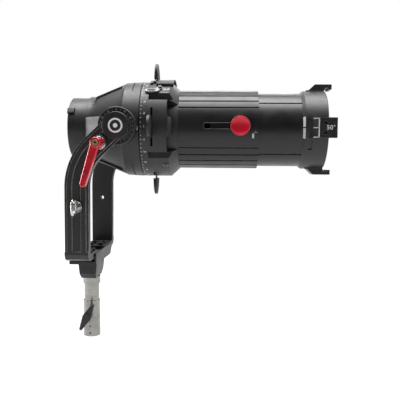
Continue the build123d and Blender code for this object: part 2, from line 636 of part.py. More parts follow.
def front_ring():
    inner = LENS_TUBE_R + 0.02
    seat = FRONT_RING_X + 4.1
    body = turned([(FRONT_RING_X, inner), (FRONT_RING_X + 5, FRONT_RING_R), (FRONT_RIM_X - 1, FRONT_RING_R),
                   (FRONT_RIM_X, FRONT_RING_R - 1), (FRONT_RIM_X, FRONT_BORE_R), (seat, FRONT_BORE_R),
                   (seat, inner)])
    flat = block((366, FRONT_RIM_X - 1), (-FRONT_RING_R, -60), (AXIS_Z - CLIP_HALF, AXIS_Z + CLIP_HALF))
    for degrees in SHUTTER_SIDES.values():
        body += around(flat, degrees)
    for from_deg, to_deg in ((-32, -17), (197, 212)):
        body -= sector((364.5, 371.5), (63.4, 80), from_deg, to_deg)
    return body


def frame_clips():
    """Solid hooked lugs round the front rim."""
    profile = [(371, -65.4), (371.6, -66.4), (380.6, -75.1), (407.6, -75.1), (408.4, -74.3), (408.4, -67.0),
               (403.6, -67.0), (403.0, -69.4), (398.0, -69.4), (396.4, -65.4)]
    body = across(profile, CLIP_HALF)
    for z in (-7.6, 7.6):
        body -= rod((389.7, -69.5, AXIS_Z + z), (389.7, -90, AXIS_Z + z), 2.9)
    return Compound(children=[around(body, degrees) for degrees in SHUTTER_SIDES.values()])


def clip_screws():
    """Socket heads sunk in the clips' two holes."""
    heads = []
    for degrees in SHUTTER_SIDES.values():
        for z in (-7.6, 7.6):
            heads.append(around(socket_screw((389.7, -69.5, AXIS_Z + z), NEAR, 2.8, 2.4, 1.0, 0.0), degrees))
    return Compound(children=heads)


def focus_knob():
    knob = rod((KNOB_X, -67.6, KNOB_Z), (KNOB_X, KNOB_FACE_Y, KNOB_Z), KNOB_R)
    knob = fillet(knob.edges().filter_by(GeomType.CIRCLE), 1.6)
    return knob


def focus_stem():
    return rod((KNOB_X, -67.6, KNOB_Z), (KNOB_X, -58.6, KNOB_Z), 3.0)


def focus_washer():
    washer = rod((KNOB_X, -61.9, KNOB_Z), (KNOB_X, -65.0, KNOB_Z), 4.1)
    return washer - rod((KNOB_X, -50, KNOB_Z), (KNOB_X, -70, KNOB_Z), 3.0 + FIT_GAP)


def cell(x_span, inner, seat):
    """Lens cell with a shoulder, held inside the lens tube."""
    x0, x1 = x_span
    return turned([(x0, inner), (x0, LENS_TUBE_BORE_R - 0.05), (x1, LENS_TUBE_BORE_R - 0.05), (x1, seat),
                   (x0 + 2, seat), (x0 + 2, inner)])


def parts():
    made = {
        "junior_pin": junior_pin(), "pin_set_screws": pin_set_screws(), "pin_block": pin_block(),
        "yoke_base": yoke_base(), "centre_bolt": centre_bolt(), "foot_screws": foot_screws(),
        "near_arm": near_arm(), "far_arm": far_arm(), "tilt_bushes": tilt_bushes(),
        "pivot_caps": pivot_caps(),
        "lever_washers": lever_washers(), "lever_stud": lever_stud(), "tilt_lever": tilt_lever(),
        "lever_screw": lever_screw(), "safety_screw": safety_screw(), "safety_ring": safety_ring(),
        "clamp_screw": clamp_screw(), "clamp_handle": clamp_handle(),
        "rear_mount_ring": rear_mount_ring(), "mount_lock": mount_lock(), "cone_housing": cone_housing(),
        "tilt_discs": tilt_discs(), "pivot_shafts": pivot_shafts(),
        "friction_washers": friction_washers(), "condenser_cell": condenser_cell(),
        "condenser_rear": lens(20.2, 46, 0, 8, 3), "condenser_front": lens(50, 62, 9, 9, 3),
        "condenser_ring": condenser_ring(),
        "rotating_housing": rotating_housing(), "degree_ring": degree_ring(),
        "turn_retainer": turn_retainer(),
        "gate_plates": gate_plates(), "gate_spacers": gate_spacers(),
        "slot_cover": slot_cover(), "cover_hinge": cover_hinge(), "cover_latch": cover_latch(),
        "latch_screw": latch_screw(), "housing_screws": housing_screws(), "outer_tube": outer_tube(),
        "lens_tube": lens_tube(), "front_ring": front_ring(), "frame_clips": frame_clips(),
        "clip_screws": clip_screws(), "focus_knob": focus_knob(),
        "focus_stem": focus_stem(), "focus_washer": focus_washer(),
        "rear_cell": cell((212, 226), 50, 54), "rear_lens": lens(214.2, 53.9, 0, 9, 5),
        "front_cell": cell((330, 344), 50, 55), "front_lens": lens(332.2, 54.9, 0, 10, 5),
    }
    for plane_x, (side, degrees) in zip(SHUTTER_PLANES, SHUTTER_SIDES.items()):
        made["shutter_" + side] = shutter_blade(plane_x, degrees)
        made["shutter_handle_" + side] = shutter_handle(plane_x, degrees)
    return made


os.makedirs("parts", exist_ok=True)
for name, shape in parts().items():
    export_step(shape, "parts/" + name + ".step")
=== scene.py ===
import bpy
import bmesh
import json
import math
from mathutils import Matrix, Vector


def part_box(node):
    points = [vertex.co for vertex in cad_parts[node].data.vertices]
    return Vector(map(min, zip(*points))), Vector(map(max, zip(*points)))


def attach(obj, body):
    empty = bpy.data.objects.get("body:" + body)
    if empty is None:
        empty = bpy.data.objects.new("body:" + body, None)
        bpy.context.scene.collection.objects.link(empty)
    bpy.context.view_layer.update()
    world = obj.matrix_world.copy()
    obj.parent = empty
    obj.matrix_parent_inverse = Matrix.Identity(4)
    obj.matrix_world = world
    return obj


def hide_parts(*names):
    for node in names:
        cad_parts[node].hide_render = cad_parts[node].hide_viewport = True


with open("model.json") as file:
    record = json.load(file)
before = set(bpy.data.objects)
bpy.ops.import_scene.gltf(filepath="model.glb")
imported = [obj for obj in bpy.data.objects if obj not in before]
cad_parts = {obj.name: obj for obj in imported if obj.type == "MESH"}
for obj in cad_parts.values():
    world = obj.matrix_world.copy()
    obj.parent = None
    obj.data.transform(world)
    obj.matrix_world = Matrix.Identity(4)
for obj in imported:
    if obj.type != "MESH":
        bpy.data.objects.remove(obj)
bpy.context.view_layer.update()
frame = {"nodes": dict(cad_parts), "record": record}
NODES = frame["nodes"]
MM = 0.001

# The optical axis, read from the frame
ring_low, ring_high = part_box("degree_ring")
AXIS_Z = (ring_low[2] + ring_high[2]) / 2
disc_low, disc_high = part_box("tilt_discs")
TILT_X = (disc_low[0] + disc_high[0]) / 2


# ---------------------------------------------------------------- node helpers

def group_tree(name, kind, inputs, outputs):
    """A node group with named sockets: (label, socket type, default)."""
    tree = bpy.data.node_groups.new(name, kind)
    for label, socket_type, default in inputs:
        made = tree.interface.new_socket(label, in_out="INPUT", socket_type=socket_type)
        if default is not None:
            made.default_value = default
    for label, socket_type in outputs:
        tree.interface.new_socket(label, in_out="OUTPUT", socket_type=socket_type)
    return tree, tree.nodes.new("NodeGroupInput"), tree.nodes.new("NodeGroupOutput")


class Wiring:
    """Short calls for adding and linking nodes in one tree."""

    def __init__(self, tree):
        self.tree = tree

    def add(self, kind, settings=None, **inputs):
        node = self.tree.nodes.new(kind)
        for key, value in (settings or {}).items():
            setattr(node, key, value)
        for key, value in inputs.items():
            self.feed(node.inputs[key.replace("_", " ").strip()], value)
        return node

    def feed(self, socket, value):
        if isinstance(value, bpy.types.NodeSocket):
            self.tree.links.new(value, socket)
        else:
            socket.default_value = value

    def maths(self, operation, *values, clamp=False):
        node = self.tree.nodes.new("ShaderNodeMath")
        node.operation = operation
        node.use_clamp = clamp
        for socket, value in zip(node.inputs, values):
            self.feed(socket, value)
        return node.outputs[0]

    def span(self, value, low, high, to_low=0.0, to_high=1.0):
        node = self.tree.nodes.new("ShaderNodeMapRange")
        for socket, number in zip(node.inputs, (value, low, high, to_low, to_high)):
            self.feed(socket, number)
        return node.outputs["Result"]

    def mixed(self, factor, first, second):
        node = self.tree.nodes.new("ShaderNodeMix")
        node.data_type = "RGBA"
        self.feed(node.inputs["Factor"], factor)
        self.feed(node.inputs[6], first)
        self.feed(node.inputs[7], second)
        return node.outputs[2]


# ---------------------------------------------------------------- shared surface effects

def make_grain():
    """Fine orange peel of a sprayed or anodised skin."""
    tree, given, result = group_tree(
        "surface_grain", "ShaderNodeTree",
        [("Fine Scale", "NodeSocketFloat", 1400.0), ("Broad Scale", "NodeSocketFloat", 60.0)],
        [("Height", "NodeSocketFloat"), ("Cloud", "NodeSocketFloat")])
    wire = Wiring(tree)
    place = wire.add("ShaderNodeTexCoord").outputs["Object"]
    fine = wire.add("ShaderNodeTexNoise", Vector=place, Scale=given.outputs["Fine Scale"], Detail=3.0)
    broad = wire.add("ShaderNodeTexNoise", Vector=place, Scale=given.outputs["Broad Scale"], Detail=5.0)
    wire.feed(result.inputs["Height"], fine.outputs["Fac"])
    wire.feed(result.inputs["Cloud"], broad.outputs["Fac"])
    return tree


def make_edge_wear():
    """Mask and soft normal along the edges of a machined or cast piece: chipped wear, which the third input
    lifts into an even painted highlight along the whole edge.
    """
    tree, given, result = group_tree(
        "edge_wear_and_highlight", "ShaderNodeTree",
        [("Radius", "NodeSocketFloat", 0.0006), ("Strength", "NodeSocketFloat", 1.0),
         ("Evenness", "NodeSocketFloat", 0.0)],
        [("Mask", "NodeSocketFloat"), ("Normal", "NodeSocketVector")])
    wire = Wiring(tree)
    soft = wire.add("ShaderNodeBevel", {"samples": 6}, Radius=given.outputs["Radius"])
    flat = wire.add("ShaderNodeNewGeometry").outputs["Normal"]
    turn = wire.add("ShaderNodeVectorMath", {"operation": "DOT_PRODUCT"})
    wire.feed(turn.inputs[0], soft.outputs[0])
    wire.feed(turn.inputs[1], flat)
    edge = wire.span(turn.outputs["Value"], 0.995, 0.86)
    place = wire.add("ShaderNodeTexCoord").outputs["Object"]
    chips = wire.add("ShaderNodeTexNoise", Vector=place, Scale=210.0, Detail=6.0)
    # The even floor turns the chipped wear into an unbroken painted highlight along the edge.
    broken = wire.maths("MAXIMUM", wire.span(chips.outputs["Fac"], 0.38, 0.68), given.outputs["Evenness"])
    mask = wire.maths("MULTIPLY", edge, broken)
    wire.feed(result.inputs["Mask"], wire.maths("MULTIPLY", mask, given.outputs["Strength"], clamp=True))
    wire.feed(result.inputs["Normal"], soft.outputs[0])
    return tree


def make_dust():
    """Thin dust on the faces that look upwards."""
    tree, given, result = group_tree(
        "settled_dust", "ShaderNodeTree", [("Amount", "NodeSocketFloat", 0.3)], [("Mask", "NodeSocketFloat")])
    wire = Wiring(tree)
    facing = wire.add("ShaderNodeSeparateXYZ", Vector=wire.add("ShaderNodeNewGeometry").outputs["Normal"])
    up = wire.span(facing.outputs["Z"], 0.35, 1.0)
    place = wire.add("ShaderNodeTexCoord").outputs["Object"]
    specks = wire.add("ShaderNodeTexNoise", Vector=place, Scale=95.0, Detail=8.0, Roughness=0.7)
    patch = wire.span(specks.outputs["Fac"], 0.4, 0.75)
    settled = wire.maths("MULTIPLY", up, patch)
    wire.feed(result.inputs["Mask"], wire.maths("MULTIPLY", settled, given.outputs["Amount"]))
    return tree


def make_tool_lines():
    """Fine lines that a lathe or a drawing die leaves, along one direction of the piece."""
    tree, given, result = group_tree(
        "tool_lines", "ShaderNodeTree",
        [("Stretch", "NodeSocketVector", (1.0, 1.0, 1.0)), ("Scale", "NodeSocketFloat", 900.0)],
        [("Height", "NodeSocketFloat")])
    wire = Wiring(tree)
    place = wire.add("ShaderNodeTexCoord").outputs["Object"]
    pulled = wire.add("ShaderNodeVectorMath", {"operation": "MULTIPLY"})
    wire.feed(pulled.inputs[0], place)
    wire.feed(pulled.inputs[1], given.outputs["Stretch"])
    lines = wire.add("ShaderNodeTexNoise", Vector=pulled.outputs[0], Scale=given.outputs["Scale"], Detail=4.0)
    wire.feed(result.inputs["Height"], lines.outputs["Fac"])
    return tree


GRAIN = make_grain()
EDGE_WEAR_AND_HIGHLIGHT = make_edge_wear()
DUST = make_dust()
TOOL_LINES = make_tool_lines()


def placed(wire, tree, **inputs):
    node = wire.tree.nodes.new("ShaderNodeGroup")
    node.node_tree = tree
    for key, value in inputs.items():
        wire.feed(node.inputs[key.replace("_", " ")], value)
    return node


def bare_material(name):
    material = bpy.data.materials.new(name)
    material.use_nodes = True
    shader = material.node_tree.nodes["Principled BSDF"]
    return material, Wiring(material.node_tree), shader


def coating(name, colour, wear_and_highlight_colour, roughness, metallic=0.0, grain=(1400.0, 60.0), relief=0.00002,
            wear=0.5, dust=0.25, coat=0.0, lines=None, edge_highlight=0.0, edge_radius=0.0006):
    """A coated, anodised or moulded skin with grain, worn edges and thin dust; a nonzero edge evenness adds an
    even painted highlight along the edges in the worn colour.
    """
    material, wire, shader = bare_material(name)
    skin = placed(wire, GRAIN, Fine_Scale=grain[0], Broad_Scale=grain[1])
    edge = placed(wire, EDGE_WEAR_AND_HIGHLIGHT, Strength=wear, Evenness=edge_highlight, Radius=edge_radius)
    top = placed(wire, DUST, Amount=dust)
    deep = tuple(channel * 0.78 for channel in colour[:3]) + (1.0,)
    pale = tuple(min(1.0, channel * 1.25) for channel in colour[:3]) + (1.0,)
    base = wire.mixed(wire.span(skin.outputs["Cloud"], 0.3, 0.7), deep, pale)
    # Edges take the pale colour: chipped wear, plus a painted highlight where the edge mask is made even.
    base = wire.mixed(edge.outputs["Mask"], base, wear_and_highlight_colour + (1.0,))
    base = wire.mixed(top.outputs["Mask"], base, (0.30, 0.29, 0.27, 1.0))
    wire.feed(shader.inputs["Base Color"], base)
    rough = wire.span(skin.outputs["Cloud"], 0.25, 0.75, roughness - 0.06, roughness + 0.07)
    rough = wire.maths("ADD", rough, wire.maths("MULTIPLY", top.outputs["Mask"], 0.3), clamp=True)
    wire.feed(shader.inputs["Roughness"], rough)
    shader.inputs["Metallic"].default_value = metallic
    shader.inputs["Coat Weight"].default_value = coat
    shader.inputs["Coat Roughness"].default_value = 0.25
    height = skin.outputs["Height"]
    if lines:
        drawn = placed(wire, TOOL_LINES, Stretch=lines, Scale=1000.0)
        height = wire.maths("ADD", height, drawn.outputs["Height"])
    bump = wire.add("ShaderNodeBump", Height=height, Distance=relief, Normal=edge.outputs["Normal"])
    bump.inputs["Strength"].default_value = 1.0
    wire.feed(shader.inputs["Normal"], bump.outputs["Normal"])
    return material


def bare_metal(name, colour, dark, roughness, lines, relief=0.000006, wear=0.4):
    """Turned, ground or plated metal with its tool lines."""
    material, wire, shader = bare_material(name)
    skin = placed(wire, GRAIN, Fine_Scale=500.0, Broad_Scale=45.0)
    drawn = placed(wire, TOOL_LINES, Stretch=lines, Scale=1000.0)
    edge = placed(wire, EDGE_WEAR_AND_HIGHLIGHT, Radius=0.0004, Strength=wear)
    base = wire.mixed(wire.span(skin.outputs["Cloud"], 0.35, 0.7), dark + (1.0,), colour + (1.0,))
    base = wire.mixed(edge.outputs["Mask"], base, (0.85, 0.84, 0.82, 1.0))
    wire.feed(shader.inputs["Base Color"], base)
    shader.inputs["Metallic"].default_value = 1.0
    rough = wire.span(drawn.outputs["Height"], 0.3, 0.7, roughness - 0.05, roughness + 0.08)
    wire.feed(shader.inputs["Roughness"], rough)
    bump = wire.add("ShaderNodeBump", Height=drawn.outputs["Height"], Distance=relief,
                    Normal=edge.outputs["Normal"])
    wire.feed(shader.inputs["Normal"], bump.outputs["Normal"])
    return material


def print_ink(name, colour, roughness=0.5):
    """Screen-printed marks, slightly uneven."""
    material, wire, shader = bare_material(name)
    skin = placed(wire, GRAIN, Fine_Scale=2600.0, Broad_Scale=300.0)
    thin = tuple(channel * 0.8 for channel in colour) + (1.0,)
    wire.feed(shader.inputs["Base Color"], wire.mixed(skin.outputs["Cloud"], thin, colour + (1.0,)))
    rough = wire.span(skin.outputs["Height"], 0.2, 0.8, roughness - 0.1, roughness + 0.1)
    wire.feed(shader.inputs["Roughness"], rough)
    return material


def lens_glass():
    material, wire, shader = bare_material("coated_glass")
    shader.inputs["Base Color"].default_value = (0.93, 0.97, 0.97, 1.0)
    shader.inputs["Metallic"].default_value = 0.0
    shader.inputs["Transmission Weight"].default_value = 1.0
    shader.inputs["IOR"].default_value = 1.5
    skin = placed(wire, GRAIN, Fine_Scale=900.0, Broad_Scale=35.0)
    wire.feed(shader.inputs["Roughness"], wire.span(skin.outputs["Cloud"], 0.3, 0.8, 0.0, 0.04))
    return material


POWDER_BLACK = coating("powder_black", (0.008, 0.008, 0.008), (0.10, 0.10, 0.10), 0.46, dust=0.04)
# The arms' edges carry a pale, nearly unbroken painted highlight on top of their wear.
ARM_BLACK = coating("arm_black", (0.009, 0.009, 0.009), (0.50, 0.50, 0.49), 0.46, wear=1.0, dust=0.05,
                    edge_highlight=0.8, edge_radius=0.0011)
# Matt black for the condenser ring and gate plates; in the lever screw's socket it is painted shade.
BLACK_AND_SOCKET_SHADE = coating("black_and_socket_shade", (0.004, 0.004, 0.004), (0.02, 0.02, 0.02), 0.6, dust=0.0)
# Ring, cap and clip edges carry a grey, mostly unbroken painted highlight on top of their wear.
RING_BLACK = coating("ring_black", (0.009, 0.009, 0.009), (0.30, 0.30, 0.30), 0.44, relief=0.000012, dust=0.05,
                     wear=0.8, edge_highlight=0.6, edge_radius=0.0008)
TUBE_BLACK = coating("anodised_black", (0.006, 0.006, 0.0065), (0.28, 0.28, 0.28), 0.36, metallic=0.15,
                     grain=(2200.0, 40.0), relief=0.000008, wear=0.5, dust=0.05, lines=(0.02, 1.0, 1.0))
# The red pieces' edges carry a pale pink, partly unbroken painted highlight.
RED_ANODISED = coating("anodised_red", (0.50, 0.002, 0.018), (0.85, 0.42, 0.40), 0.30, metallic=0.25,
                       grain=(2400.0, 80.0), relief=0.000006, wear=0.8, dust=0.0, coat=0.35, edge_highlight=0.5)
KNOB_RED = coating("knob_red", (0.62, 0.003, 0.022), (0.90, 0.40, 0.40), 0.34, metallic=0.25,
                   grain=(2400.0, 6.0), relief=0.000004, wear=0.8, dust=0.0, coat=0.2, edge_highlight=0.8)
BLACK_NYLON = coating("moulded_nylon", (0.012, 0.012, 0.012), (0.07, 0.07, 0.07), 0.50, relief=0.00003,
                      grain=(900.0, 90.0), wear=0.5, dust=0.05)
BLACK_OXIDE = coating("black_oxide", (0.03, 0.03, 0.031), (0.25, 0.25, 0.24), 0.34, metallic=0.8,
                      relief=0.000005, wear=0.7, dust=0.05)
FRICTION_FIBRE = coating("friction_fibre", (0.10, 0.08, 0.06), (0.16, 0.14, 0.11), 0.8, relief=0.00005)
STAINLESS = bare_metal("turned_stainless", (0.34, 0.335, 0.315), (0.24, 0.235, 0.22), 0.22, (0.05, 0.05, 1.0))
ZINC = bare_metal("bright_zinc", (0.58, 0.58, 0.59), (0.42, 0.42, 0.44), 0.3, (0.2, 1.0, 0.2))
CHROME = bare_metal("polished_chrome", (0.60, 0.59, 0.58), (0.48, 0.475, 0.47), 0.14, (0.2, 0.2, 0.2),
                    relief=0.000002)
DULL_ZINC = bare_metal("dull_zinc", (0.15, 0.15, 0.152), (0.09, 0.09, 0.092), 0.34, (0.2, 1.0, 0.2), wear=1.0)
BRASS = bare_metal("bare_brass", (0.82, 0.62, 0.30), (0.62, 0.45, 0.20), 0.30, (1.0, 0.1, 1.0))
BRONZE = bare_metal("sintered_bronze", (0.60, 0.42, 0.24), (0.42, 0.28, 0.15), 0.42, (1.0, 1.0, 1.0))
BLADE_STEEL = bare_metal("rolled_blade_steel", (0.50, 0.50, 0.52), (0.34, 0.34, 0.36), 0.33, (1.0, 0.05, 1.0))
GLASS = lens_glass()
WHITE_INK = print_ink("white_ink", (0.82, 0.82, 0.80))
PALE_INK = print_ink("grey_ink", (0.34, 0.34, 0.33))
SILVER_INK = print_ink("silver_ink", (0.52, 0.53, 0.54), 0.35)

BY_SLOT = {
    "powder_black": POWDER_BLACK, "tube_black": TUBE_BLACK, "red_anodised": RED_ANODISED,
    "stainless": STAINLESS, "zinc": ZINC, "chrome": CHROME, "black_screw": BLACK_OXIDE,
    "black_plastic": BLACK_NYLON, "brass": BRASS, "bronze": BRONZE, "blade_steel": BLADE_STEEL,
    "glass": GLASS, "fibre": FRICTION_FIBRE,
}
SLOT_OF = {entry["node"]: entry["material_slot"] for entry in frame["record"]["subparts"]}


NODE_FINISH = {
    "near_arm": ARM_BLACK, "far_arm": ARM_BLACK, "tilt_discs": RING_BLACK, "pivot_caps": RING_BLACK,
    "frame_clips": RING_BLACK, "cover_latch": DULL_ZINC,
    "condenser_ring": BLACK_AND_SOCKET_SHADE, "gate_plates": BLACK_AND_SOCKET_SHADE,
}


def dress_cad_nodes():
    """Every CAD node gets its finish, welded seams and smooth curved faces."""
    for node, thing in NODES.items():
        thing.data.materials.clear()
        thing.data.materials.append(NODE_FINISH.get(node, BY_SLOT[SLOT_OF[node]]))
        thing.data.polygons.foreach_set("use_smooth", [True] * len(thing.data.polygons))
        weld = thing.modifiers.new("weld", "WELD")
        weld.merge_threshold = 0.000001
        creases = thing.modifiers.new("creases", "EDGE_SPLIT")
        creases.split_angle = math.radians(24)


dress_cad_nodes()


# ---------------------------------------------------------------- shape trees

def shape_tree(name, inputs):
    given_inputs = inputs + [("Finish", "NodeSocketMaterial", None)]
    tree, given, result = group_tree(name, "GeometryNodeTree", given_inputs,
                                     [("Shape", "NodeSocketGeometry")])
    wire = Wiring(tree)

    def close(shape, crease=0.45):
        """Creased smooth shading, instances made real, and the finish."""
        real = wire.add("GeometryNodeRealizeInstances", Geometry=shape).outputs[0]
        bend = wire.add("GeometryNodeInputMeshEdgeAngle").outputs["Unsigned Angle"]
        sharp = wire.maths("GREATER_THAN", bend, crease)
        smooth = wire.add("GeometryNodeSetShadeSmooth", {"domain": "FACE"}, Geometry=real).outputs[0]
        creased = wire.add("GeometryNodeSetShadeSmooth", {"domain": "EDGE"}, Geometry=smooth, Selection=sharp,
                           Shade_Smooth=False).outputs[0]
        done = wire.add("GeometryNodeSetMaterial", Geometry=creased, Material=given.outputs["Finish"])
        wire.feed(result.inputs["Shape"], done.outputs[0])

    return tree, given, wire, close


def vector(wire, x=0.0, y=0.0, z=0.0):
    return wire.add("ShaderNodeCombineXYZ", X=x, Y=y, Z=z).outputs[0]


def steps_round(wire, given, count):
    """Points in one row and the angle of each."""
    row = wire.add("GeometryNodeMeshLine", {"mode": "OFFSET"}, Count=count).outputs[0]
    index = wire.add("GeometryNodeInputIndex").outputs[0]
    angle = wire.maths("ADD", given.outputs["First"], wire.maths("MULTIPLY", index, given.outputs["Step"]))
    return row, angle


def make_marks_tree():
    """Ticks, dots or ribs at equal steps round an axis."""
    tree, given, wire, close = shape_tree("marks_round_an_axis", [
        ("Count", "NodeSocketInt", 12), ("First", "NodeSocketFloat", 0.0), ("Step", "NodeSocketFloat", 0.1),
        ("Radius", "NodeSocketFloat", 0.01), ("Along", "NodeSocketFloat", 0.0),
        ("Size", "NodeSocketVector", (0.001, 0.001, 0.001)), ("Round", "NodeSocketBool", False),
        ("Centre", "NodeSocketVector", (0.0, 0.0, 0.0)), ("Turn", "NodeSocketVector", (0.0, 0.0, 0.0))])
    row, angle = steps_round(wire, given, given.outputs["Count"])
    place = vector(wire, wire.maths("MULTIPLY", wire.maths("COSINE", angle), given.outputs["Radius"]),
                   wire.maths("MULTIPLY", wire.maths("SINE", angle), given.outputs["Radius"]),
                   given.outputs["Along"])
    seats = wire.add("GeometryNodeSetPosition", Geometry=row, Position=place).outputs[0]
    dot = wire.add("GeometryNodeMeshUVSphere", Segments=10, Rings=6, Radius=0.5).outputs[0]
    bar = wire.add("GeometryNodeMeshCube", Size=(1.0, 1.0, 1.0)).outputs[0]
    mark = wire.add("GeometryNodeSwitch", {"input_type": "GEOMETRY"}, Switch=given.outputs["Round"], False_=bar,
                    True_=dot).outputs[0]
    turn = vector(wire, 0.0, 0.0, angle)
    placed_marks = wire.add("GeometryNodeInstanceOnPoints", Points=seats, Instance=mark, Rotation=turn,
                            Scale=given.outputs["Size"]).outputs[0]
    moved = wire.add("GeometryNodeTransform", Geometry=placed_marks, Translation=given.outputs["Centre"],
                     Rotation=given.outputs["Turn"]).outputs[0]
    close(moved)
    return tree


def make_screws_tree():
    """Socket head cap screws on the start mesh's points, along its facing attribute."""
    tree, given, wire, close = shape_tree("socket_head_screws", [
        ("Seats", "NodeSocketGeometry", None), ("Head Radius", "NodeSocketFloat", 0.003),
        ("Head Height", "NodeSocketFloat", 0.002), ("Socket Radius", "NodeSocketFloat", 0.0015)])
    high = given.outputs["Head Height"]
    wide = given.outputs["Head Radius"]
    half = wire.maths("MULTIPLY", high, 0.5)
    barrel = wire.add("GeometryNodeMeshCone", Vertices=28, Radius_Top=wide, Radius_Bottom=wide,
                      Depth=wire.maths("MULTIPLY", high, 0.84)).outputs[0]
    crown = wire.add("GeometryNodeMeshCone", Vertices=28, Radius_Top=wire.maths("MULTIPLY", wide, 0.88),
                     Radius_Bottom=wide, Depth=wire.maths("MULTIPLY", high, 0.17)).outputs[0]
    crown = wire.add("GeometryNodeTransform", Geometry=crown,
                     Translation=vector(wire, 0.0, 0.0, wire.maths("MULTIPLY", high, 0.83))).outputs[0]
    body = wire.add("GeometryNodeMeshBoolean", {"operation": "UNION"})
    wire.feed(body.inputs["Mesh 2"], crown)
    wire.tree.links.new(barrel, body.inputs["Mesh 2"])
    hexagon = wire.add("GeometryNodeMeshCone", Vertices=6, Radius_Top=given.outputs["Socket Radius"],
                       Radius_Bottom=given.outputs["Socket Radius"], Depth=high).outputs[0]
    hexagon = wire.add("GeometryNodeTransform", Geometry=hexagon,
                       Translation=vector(wire, 0.0, 0.0, half)).outputs[0]
    cut = wire.add("GeometryNodeMeshBoolean", {"operation": "DIFFERENCE"})
    wire.feed(cut.inputs["Mesh 1"], body.outputs[0])
    wire.feed(cut.inputs["Mesh 2"], hexagon)
    facing = wire.add("GeometryNodeInputNamedAttribute", {"data_type": "FLOAT_VECTOR"},
                      Name="facing").outputs[0]
    turn = wire.add("FunctionNodeAlignRotationToVector", {"axis": "Z"}, Vector=facing).outputs[0]
    heads = wire.add("GeometryNodeInstanceOnPoints", Points=given.outputs["Seats"], Instance=cut.outputs[0],
                     Rotation=turn).outputs[0]
    close(heads)
    return tree


def make_fluted_tube_tree():
    """Tube along X with grooves on two opposite sides and a slot on the near side."""
    tree, given, wire, close = shape_tree("fluted_tube", [
        ("Radius", "NodeSocketFloat", 0.06), ("Bore", "NodeSocketFloat", 0.055),
        ("Rear", "NodeSocketFloat", 0.0), ("Front", "NodeSocketFloat", 0.1),
        ("Axis Height", "NodeSocketFloat", 0.3),
        ("Grooves", "NodeSocketInt", 5), ("First", "NodeSocketFloat", 0.0), ("Step", "NodeSocketFloat", 0.2),
        ("Groove Width", "NodeSocketFloat", 0.002), ("Groove Depth", "NodeSocketFloat", 0.001),
        ("Slot Length", "NodeSocketFloat", 0.06), ("Slot Width", "NodeSocketFloat", 0.009),
        ("Slot Place", "NodeSocketVector", (0.2, -0.06, 0.3))])
    length = wire.maths("SUBTRACT", given.outputs["Front"], given.outputs["Rear"])
    middle = wire.maths("MULTIPLY", wire.maths("ADD", given.outputs["Front"], given.outputs["Rear"]), 0.5)
    long = wire.maths("MULTIPLY", length, 1.2)

    def cylinder(radius, depth, sides):
        return wire.add("GeometryNodeMeshCylinder", Vertices=sides, Radius=radius, Depth=depth).outputs[0]

    wall = cylinder(given.outputs["Radius"], length, 288)
    bore = cylinder(given.outputs["Bore"], long, 192)
    count = wire.maths("MULTIPLY", given.outputs["Grooves"], 2)
    row = wire.add("GeometryNodeMeshLine", {"mode": "OFFSET"}, Count=count).outputs[0]
    index = wire.add("GeometryNodeInputIndex").outputs[0]
    far = wire.maths("GREATER_THAN", index, wire.maths("SUBTRACT", given.outputs["Grooves"], 0.5))
    own = wire.maths("SUBTRACT", index, wire.maths("MULTIPLY", far, given.outputs["Grooves"]))
    angle = wire.maths("ADD", given.outputs["First"], wire.maths("MULTIPLY", own, given.outputs["Step"]))
    angle = wire.maths("ADD", angle, wire.maths("MULTIPLY", far, math.pi))
    place = vector(wire, wire.maths("MULTIPLY", wire.maths("SINE", angle), given.outputs["Radius"]),
                   wire.maths("MULTIPLY", wire.maths("COSINE", angle),
                              wire.maths("MULTIPLY", given.outputs["Radius"], -1.0)))
    seats = wire.add("GeometryNodeSetPosition", Geometry=row, Position=place).outputs[0]
    groove_size = vector(wire, wire.maths("MULTIPLY", given.outputs["Groove Depth"], 2.0),
                         given.outputs["Groove Width"], long)
    cutter = wire.add("GeometryNodeMeshCube", Size=groove_size).outputs[0]
    turn = vector(wire, 0.0, 0.0, wire.maths("SUBTRACT", angle, math.pi / 2))
    grooves = wire.add("GeometryNodeInstanceOnPoints", Points=seats, Instance=cutter,
                       Rotation=turn).outputs[0]
    grooves = wire.add("GeometryNodeRealizeInstances", Geometry=grooves).outputs[0]
    seat = vector(wire, middle, 0.0, given.outputs["Axis Height"])
    wall, bore, grooves = [wire.add("GeometryNodeTransform", Geometry=shape, Rotation=(0.0, math.pi / 2, 0.0),
                                    Translation=seat).outputs[0] for shape in (wall, bore, grooves)]
    wide = given.outputs["Slot Width"]
    round_bar = cylinder(wire.maths("MULTIPLY", wide, 0.5), 0.03, 46)
    round_bar = wire.add("GeometryNodeTransform", Geometry=round_bar,
                         Rotation=(math.pi / 2, 0.0, 0.0)).outputs[0]
    reach = wire.maths("MULTIPLY", given.outputs["Slot Length"], 0.5)
    spot = wire.add("GeometryNodeInputPosition").outputs[0]
    across = wire.add("ShaderNodeSeparateXYZ", Vector=spot).outputs[0]
    apart = vector(wire, wire.maths("MULTIPLY", wire.maths("SIGN", across), reach))
    round_bar = wire.add("GeometryNodeSetPosition", Geometry=round_bar, Offset=apart).outputs[0]
    slot = wire.add("GeometryNodeTransform", Geometry=round_bar,
                    Translation=given.outputs["Slot Place"]).outputs[0]
    opened = wire.add("GeometryNodeMeshBoolean", {"operation": "DIFFERENCE"})
    wire.feed(opened.inputs["Mesh 1"], wall)
    for shape in (bore, grooves, slot):
        wire.tree.links.new(shape, opened.inputs["Mesh 2"])
    close(opened.outputs[0], 0.35)
    return tree


MARKS_TREE = make_marks_tree()
SCREWS_TREE = make_screws_tree()
TUBE_TREE = make_fluted_tube_tree()


